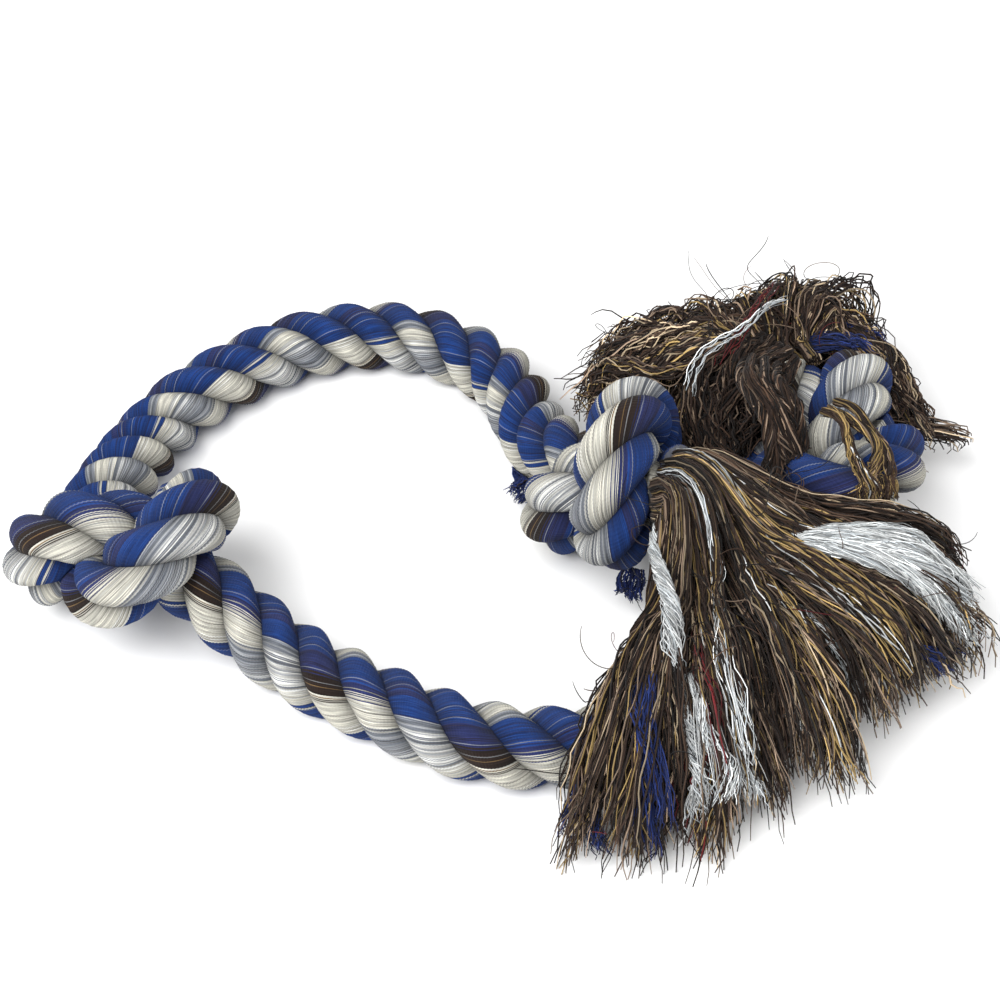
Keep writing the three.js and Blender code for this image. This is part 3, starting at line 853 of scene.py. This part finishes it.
def lock_kinds(name, lock_a, lock_b, rng):
    """The kind of each lock of a tuft, by its place in it."""
    order, shares = LOCK_KINDS[name]
    where = 0.5 + 0.5 * (lock_a if order == "across" else -lock_b)
    where = np.clip(where + rng.normal(0, KIND_SPREAD, len(where)), 0, 1)
    return np.array([kind for _, kind in shares])[pick(shares, where)]


def stray_yarns(lines, count, curl, rng):
    """Lines of single yarns that leave the others and curl away."""
    which = rng.integers(0, len(lines), count)
    at = rng.integers(YARN_POINTS // 4, YARN_POINTS - 2, count)
    spot = lines[which, at]
    ahead = unit(lines[which, at + 1] - spot)
    heading = ahead + rng.normal(0, STRAY_TURN, (count, 3)) + STRAY_RISE * UP
    spin = rng.normal(0, curl, (count, 3))
    step = rng.uniform(*STRAY_LENGTHS, count)[:, None] / YARN_POINTS
    points = [spot]
    for _ in range(YARN_POINTS - 1):
        heading = unit(heading + np.cross(spin, heading) * step - UP * step * STRAY_FALL)
        points.append(points[-1] + heading * step)
    return np.stack(points, axis=1)


def off_the_rope(lines, rope):
    """Moves points out of the given rope and keeps them between the floor and a height."""
    flat = lines.reshape(-1, 3)
    gap = (flat**2).sum(1)[:, None] + (rope**2).sum(1)[None] - 2 * flat @ rope.T
    close = rope[gap.argmin(1)]
    away = flat - close
    distance = np.linalg.norm(away, axis=1, keepdims=True)
    least = ROPE / 2 + 2 * YARN_RADIUS
    flat = np.where(distance < least, close + away / distance * least, flat)
    flat[:, 2] = np.clip(flat[:, 2], 1.5 * YARN_RADIUS, HIGHEST)
    return flat.reshape(lines.shape)


def bake_cells(y, across, up, columns, rows):
    """Places in the bake for points of each yarn's own cell."""
    long_edge, high_edge = CELL_EDGES
    u = (y % columns + long_edge + (1 - 2 * long_edge) * across) / columns
    v = (y // columns + high_edge + (1 - 2 * high_edge) * up) / rows
    return np.stack([u, v], axis=-1)


def yarn_mesh(lines, tints, radius):
    """Thin three-sided tubes along lines, with a colour at each point that holds painted shade, and a
    cell of the bake each.
    """
    count, points = lines.shape[:2]
    along = unit(np.gradient(lines, axis=1))
    n = unit(np.cross(along[:, 0], SLANT))
    rings = np.zeros((count, points, YARN_SIDES, 3))
    taper = np.interp(np.linspace(0, 1, points), *TAPER)
    turn = 2 * np.pi * np.arange(YARN_SIDES)[:, None] / YARN_SIDES
    for i in range(points):
        n = unit(n - along[:, i] * (n * along[:, i]).sum(1)[:, None])
        b = np.cross(along[:, i], n)
        sides = np.cos(turn) * n[:, None] + np.sin(turn) * b[:, None]
        rings[:, i] = lines[:, i, None] + sides * (radius * taper[i])[:, None, None]
    y, i, k = np.meshgrid(*[np.arange(size) for size in (count, points - 1, YARN_SIDES)], indexing="ij")
    base, nxt = (y * points + i) * YARN_SIDES, (k + 1) % YARN_SIDES
    above = base + YARN_SIDES
    faces = np.stack([base + k, base + nxt, above + nxt, above + k], axis=-1).reshape(-1, 4)
    columns = math.ceil(math.sqrt(count / CELL_LONG))
    rows = math.ceil(count / columns)
    corners = ((i, k), (i, k + 1), (i + 1, k + 1), (i + 1, k))
    bake = [bake_cells(y, r / (points - 1), c / YARN_SIDES, columns, rows) for r, c in corners]
    start = np.arange(count)[:, None] * points * YARN_SIDES
    ring = np.arange(YARN_SIDES)
    caps = np.vstack([start + ring[::-1], start + (points - 1) * YARN_SIDES + ring])
    cap_yarn = np.repeat(np.tile(np.arange(count), 2), YARN_SIDES)
    cap_uv = bake_cells(cap_yarn, 0.5, 0.5, columns, rows)
    bake = np.vstack([np.stack(bake, axis=3).reshape(-1, 2), cap_uv])
    # painted shade along each yarn: darker towards the root, a little lighter at the tip
    shade = np.interp(np.linspace(0, 1, points), *PAINTED_YARN_SHADE)
    tint = np.repeat(tints[:, None] * shade[None, :, None], YARN_SIDES, axis=1)
    return rings.reshape(-1, 3), [faces, caps], {"OFBake": bake}, tint


class Tassel:
    """The end of the rope that a tassel grows from, with the tassel's material."""

    def __init__(self, letter, stub, forward, rope):
        self.knot = f"knot_{letter}"
        self.slot = f"tassel_{letter}_yarn"
        self.material = yarn_material(self.slot)
        self.stub = stub
        self.forward = forward
        self.rope = rope

    def bend(self, piece, tuft):
        """Bakes the piece's place into its points; the tuft is not used."""
        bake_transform(piece)


def make_yarns(name, lines, kinds, tassel, rng):
    """One piece of loose yarns."""
    thin = np.array([THIN_KINDS.get(kind, 1.0) for kind in kinds])
    radius = YARN_RADIUS * rng.uniform(*YARN_SIZES, len(lines)) * thin
    verts, faces, uvs, tint = yarn_mesh(off_the_rope(lines, tassel.rope), yarn_tints(kinds, rng), radius)
    piece = make_piece(name, verts, faces, tassel.material, uvs, tint)
    return piece


def make_tufts(tassel, tufts, thick, sag, mess, strays, curl, rng):
    sections = tuft_sections(tassel.stub, tassel.forward, tufts, thick, sag)
    for name, section in sections.items():
        locks = (LOCKS, YARNS_PER_LOCK, LOCK_TWIST, mess, LONGEST[name])
        lines, lock, lock_a, lock_b = loose_yarns(section, *locks, rng)
        kinds = lock_kinds(name, lock_a, lock_b, rng)[lock]
        lines = np.concatenate([lines, stray_yarns(lines, strays, curl, rng)])
        kinds = np.concatenate([kinds, np.full(strays, "stray")])
        piece = make_yarns(f"{name}_yarns", lines, kinds, tassel, rng)
        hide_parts(name)
        tassel.bend(piece, f"{name}_tuft")


# Hanks of one kind: body, tassel, kind, locks, yarns in each, twist, mess, half widths at both ends,
# and route
HANKS = {
    "pale_strand": (
        "tassel_a_left_tuft", "a", "pale", 1, 130, 22, 0.9, (0.2, 0.2),
        [[6.85, -0.05, 1.95], [6.7, -0.7, 2.0], [6.68, -1.5, 1.98], [6.8, -2.2, 1.75], [7.0, -2.9, 1.4]],
    ),
    "pale_end": (
        "tassel_a_left_tuft", "a", "pale", 3, 60, 6, 0.9, (0.1, 0.3),
        [[6.95, -2.5, 1.5], [7.15, -3.1, 1.35], [7.4, -3.75, 0.75]],
    ),
    "pale_brush": (
        "tassel_a_right_tuft", "a", "pale", 6, 110, 8, 0.85, (0.1, 0.32),
        [[8.2, -0.5, 1.7], [8.95, -1.0, 2.2], [9.75, -1.2, 2.05], [10.5, -1.15, 1.1]],
    ),
    "blue_brush": (
        "tassel_a_right_tuft", "a", "blue", 3, 40, 6, 0.8, (0.08, 0.22),
        [[9.2, -1.5, 1.5], [9.8, -1.7, 1.25], [10.3, -1.8, 0.7]],
    ),
    "blue_hank": (
        "tassel_a_left_tuft", "a", "blue", 3, 26, 6, 0.8, (0.05, 0.12),
        [[6.55, -2.0, 1.5], [6.42, -3.0, 1.6], [6.46, -3.7, 1.15], [6.5, -4.1, 0.45]],
    ),
    "blue_tip": (
        "tassel_a_left_tuft", "a", "blue", 2, 40, 6, 0.8, (0.05, 0.15),
        [[6.15, -2.9, 1.05], [5.9, -3.4, 0.8], [5.7, -3.85, 0.2]],
    ),
    "dark_drape": (
        "knot_b", "b", "dark", 6, 40, 16, 0.7, (0.2, 0.25),
        [[8.3, 2.6, 1.9], [8.15, 1.8, 2.25], [8.35, 1.35, 2.15], [8.45, 1.0, 1.85], [8.52, 0.7, 1.3]],
    ),
    "gold_drape": (
        "knot_b", "b", "gold", 3, 40, 10, 0.6, (0.12, 0.15),
        [[8.95, 1.2, 2.35], [9.2, 0.95, 2.4], [9.42, 0.65, 2.2], [9.5, 0.5, 1.8], [9.5, 0.45, 1.3]],
    ),
    "inner_scruff": (
        "knot_b", "b", "dark", 14, 40, 6, 2.0, (0.3, 0.6),
        [[8.6, 3.0, 1.8], [8.1, 2.5, 1.7], [7.85, 2.1, 1.3], [7.95, 1.75, 0.6]],
    ),
    "pale_wisps": (
        "knot_b", "b", "pale", 1, 8, 3, 0.9, (0.1, 0.3),
        [[8.7, 3.5, 2.2], [8.3, 3.1, 2.3], [7.8, 2.6, 2.1], [7.4, 2.3, 1.6]],
    ),
    "red_wisps": (
        "knot_b", "b", "red", 1, 8, 3, 0.9, (0.1, 0.3),
        [[8.6, 3.85, 2.2], [8.3, 3.2, 2.3], [7.9, 2.7, 2.0], [7.75, 2.4, 1.6]],
    ),
    "left_scruff": (
        "tassel_b_left_tuft", "b", "brown", 14, 40, 6, 2.0, (0.25, 0.6),
        [[8.1, 3.3, 1.7], [7.3, 3.35, 1.6], [6.7, 3.4, 1.2], [6.1, 3.4, 0.5]],
    ),
    "right_scruff": (
        "knot_b", "b", "brown", 12, 40, 6, 1.5, (0.2, 0.45),
        [[9.6, 3.7, 1.5], [10.0, 3.2, 1.3], [10.2, 2.7, 0.9], [10.35, 2.4, 0.35]],
    ),
    "blue_tuft": (
        "knot_b", "b", "blue", 4, 30, 6, 0.8, (0.15, 0.25),
        [[9.0, 3.3, 1.6], [9.5, 3.5, 1.6], [10.2, 3.6, 1.3]],
    ),
    "blue_bunch_1": (
        "knot_a", "a", "blue", 3, 30, 3, 0.7, (0.1, 0.2),
        [[5.35, 1.95, 0.5], [5.15, 1.85, 0.4], [5.0, 1.8, 0.15]],
    ),
    "blue_bunch_2": (
        "knot_a", "a", "blue", 3, 20, 3, 0.4, (0.08, 0.14),
        [[6.5, -0.1, 0.75], [6.47, -0.22, 0.6], [6.44, -0.34, 0.4]],
    ),
}


def make_hanks(tassels, rng):
    for name, (body, letter, kind, locks, per_lock, twist, mess, width, route) in HANKS.items():
        route = [place(p) for p in route]
        line = curve_through([2 * route[0] - route[1], *route, 2 * route[-1] - route[-2]])
        middle = spaced(line, TUFT_RINGS)
        ahead = np.gradient(middle, axis=0)
        across = unit(np.cross(UP, ahead))
        wide = np.linspace(*width, TUFT_RINGS) * ROPE
        section = (middle, across, unit(np.cross(ahead, across)), wide, 0.5 * wide)
        lines = loose_yarns(section, locks, per_lock, twist, mess, 1.0, rng)[0]
        tassel = tassels[letter]
        piece = make_yarns(f"{name}_yarns", lines, np.full(len(lines), kind), tassel, rng)
        if body == tassel.knot:
            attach(piece, body)
        else:
            tassel.bend(piece, body)


def make_tassels():
    rng = np.random.default_rng(SEED)
    tassels = {
        "a": Tassel("a", AXIS[0], -ALONG[0], AXIS[RUN > STUB_CLEAR][::2]),
        "b": Tassel("b", AXIS[-1], ALONG[-1], AXIS[RUN < RUN[-1] - STUB_CLEAR][::2]),
    }
    make_tufts(tassels["a"], TASSEL_A, *TASSEL_LOOKS["a"], rng)
    make_tufts(tassels["b"], TASSEL_B, *TASSEL_LOOKS["b"], rng)
    make_hanks(tassels, rng)


make_tassels()


# Floor, light and background
def aimed(location, target):
    """Turn of a lamp that stands at a place and shines at a target."""
    x, y, z = np.array(target) - np.array(location)
    return (math.atan2(math.hypot(x, y), -z), 0, math.atan2(y, x) - math.pi / 2)


# Each lamp: its place, power and width
LAMPS = {"key": ((-0.3, -0.5, 0.9), 19, 0.8), "fill": ((0.7, -0.2, 0.7), 4, 0.8)}
WORLD_LIGHT = 0.35
FLOOR_HALF = 3.0
FLOOR_MIDDLE = (0.12, 0.0, 0.0)
FLOOR_COLOUR = (0.9, 0.9, 0.9, 1)
FLOOR_ROUGHNESS = 0.9
SHADOW_ROOM = (0.35, 0.7)  # distances from its middle over which the floor turns plain white
PLAIN_WHITE = (1, 1, 1, 1)


def make_floor():
    """A white floor that takes shadows near the object and is plain white to the camera far from it."""
    mesh = bpy.data.meshes.new("floor")
    corners = [(x * FLOOR_HALF, y * FLOOR_HALF, 0) for x, y in ((-1, -1), (1, -1), (1, 1), (-1, 1))]
    mesh.from_pydata(corners, [], [(0, 1, 2, 3)])
    floor = bpy.data.objects.new("floor", mesh)
    floor.location = FLOOR_MIDDLE
    bpy.context.collection.objects.link(floor)
    m = Nodes(bpy.data.materials.new("floor"))
    m.join(FLOOR_COLOUR, m.shader.inputs["Base Color"])
    m.join(FLOOR_ROUGHNESS, m.shader.inputs["Roughness"])
    spot = m.add("ShaderNodeTexCoord", {}).outputs["Object"]
    far = m.add("ShaderNodeVectorMath", {0: spot}, operation="LENGTH").outputs["Value"]
    near, beyond = SHADOW_ROOM
    plain = m.add("ShaderNodeMapRange", {"Value": far, "From Min": near, "From Max": beyond}).outputs[0]
    m.join(PLAIN_WHITE, m.shader.inputs["Emission Color"])
    m.join(m.math("MULTIPLY", plain, m.seen()), m.shader.inputs["Emission Strength"])
    mesh.materials.append(m.owner)


def make_light():
    world = bpy.data.worlds.new("studio")
    m = Nodes(world)
    m.join(PLAIN_WHITE, m.shader.inputs["Color"])
    m.join(m.math("MAXIMUM", m.seen(), WORLD_LIGHT), m.shader.inputs["Strength"])
    bpy.context.scene.world = world
    for name, (at, power, width) in LAMPS.items():
        data = bpy.data.lights.new(name, "AREA")
        data.energy = power
        data.size = width
        lamp = bpy.data.objects.new(name, data)
        lamp.location = at
        lamp.rotation_euler = aimed(at, FLOOR_MIDDLE)
        bpy.context.collection.objects.link(lamp)
    bpy.context.scene.view_settings.view_transform = "Standard"


make_floor()
make_light()
